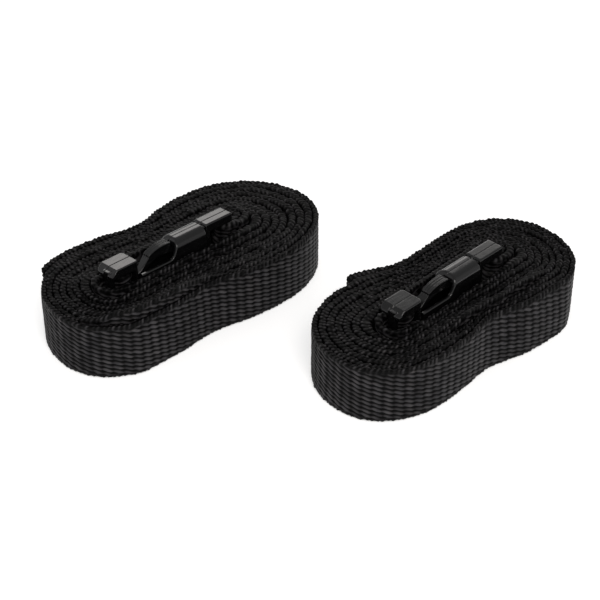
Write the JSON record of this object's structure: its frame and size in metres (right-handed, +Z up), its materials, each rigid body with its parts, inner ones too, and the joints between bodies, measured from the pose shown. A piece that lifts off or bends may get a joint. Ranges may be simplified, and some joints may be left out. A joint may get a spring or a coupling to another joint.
{
  "type": "pair of coiled buckle straps",
  "caption": "Two flat lashing straps of woven webbing, each wound on edge round its own closed side-release buckle, with a loose free end on the outside of the coil.",
  "frame": {"origin": "middle of the pair's bounding box, on the surface the straps stand on", "axes": "+Z up; X along the buckles and coils, with each buckle's webbing block towards +X and its ladder lock towards -X; +Y to the back, from strap b to strap a"},
  "size_m": [0.1874, 0.1642, 0.0351],
  "materials": {
    "webbing": "black woven polypropylene webbing, matte with a slight sheen on the floats",
    "buckle_plastic": "black moulded acetal, satin to semi-gloss",
    "thread": "black sewing thread"
  },
  "bodies": {
    "strap_a": {"webbing_a": "webbing", "bar_tack_a": "thread", "male_half_a": "buckle_plastic"},
    "strap_b": {"webbing_b": "webbing", "bar_tack_b": "thread", "male_half_b": "buckle_plastic"},
    "female_a": {"female_half_a": "buckle_plastic"},
    "arm_upper_a": {"spring_arm_upper_a": "buckle_plastic"},
    "arm_lower_a": {"spring_arm_lower_a": "buckle_plastic"},
    "tail_a": {"webbing_tail_a": "webbing"},
    "female_b": {"female_half_b": "buckle_plastic"},
    "arm_upper_b": {"spring_arm_upper_b": "buckle_plastic"},
    "arm_lower_b": {"spring_arm_lower_b": "buckle_plastic"},
    "tail_b": {"webbing_tail_b": "webbing"}
  },
  "joints": [
    {"name": "release_a", "type": "slide", "parent": "strap_a", "child": "female_a", "axis": [0.999, -0.0436, 0], "range_m": [0, 0.0025]},
    {"name": "squeeze_upper_a", "type": "hinge", "parent": "strap_a", "child": "arm_upper_a", "pos_m": [-0.05455, 0.04741, 0.02431], "axis": [0.0433, 0.9926, -0.1132], "range_deg": [0, 7.2], "stiffness_Nm_per_rad": 1},
    {"name": "squeeze_lower_a", "type": "hinge", "parent": "strap_a", "child": "arm_lower_a", "pos_m": [-0.05462, 0.04588, 0.01079], "axis": [0.0433, 0.9926, -0.1132], "range_deg": [-7.2, 0], "stiffness_Nm_per_rad": 1},
    {"name": "tail_bend_a", "type": "hinge", "parent": "strap_a", "child": "tail_a", "pos_m": [-0.03637, 0.07745, 0.0125], "axis": [0, 0, -1], "range_deg": [0, 40], "stiffness_Nm_per_rad": 0.02},
    {"name": "release_b", "type": "slide", "parent": "strap_b", "child": "female_b", "axis": [1, 0, 0], "range_m": [0, 0.0025]},
    {"name": "squeeze_upper_b", "type": "hinge", "parent": "strap_b", "child": "arm_upper_b", "pos_m": [0.0077, -0.05057, 0.0238], "axis": [0, 1, 0], "range_deg": [0, 7.2], "stiffness_Nm_per_rad": 1},
    {"name": "squeeze_lower_b", "type": "hinge", "parent": "strap_b", "child": "arm_lower_b", "pos_m": [0.0077, -0.05057, 0.0102], "axis": [0, 1, 0], "range_deg": [-7.2, 0], "stiffness_Nm_per_rad": 1},
    {"name": "tail_bend_b", "type": "hinge", "parent": "strap_b", "child": "tail_b", "pos_m": [0.0479, -0.02212, 0.0125], "axis": [0, 0, -1], "range_deg": [0, 40], "stiffness_Nm_per_rad": 0.02},
    {"name": "lift_b", "type": "slide", "parent": "strap_a", "child": "strap_b", "axis": [0, 0, 1], "range_m": [0, 0.08]}
  ],
  "couplings": [
    {"joint": "squeeze_upper_a", "follows": "release_a", "rad_per_m": 49},
    {"joint": "squeeze_lower_a", "follows": "release_a", "rad_per_m": -49},
    {"joint": "squeeze_upper_b", "follows": "release_b", "rad_per_m": 49},
    {"joint": "squeeze_lower_b", "follows": "release_b", "rad_per_m": -49}
  ]
}
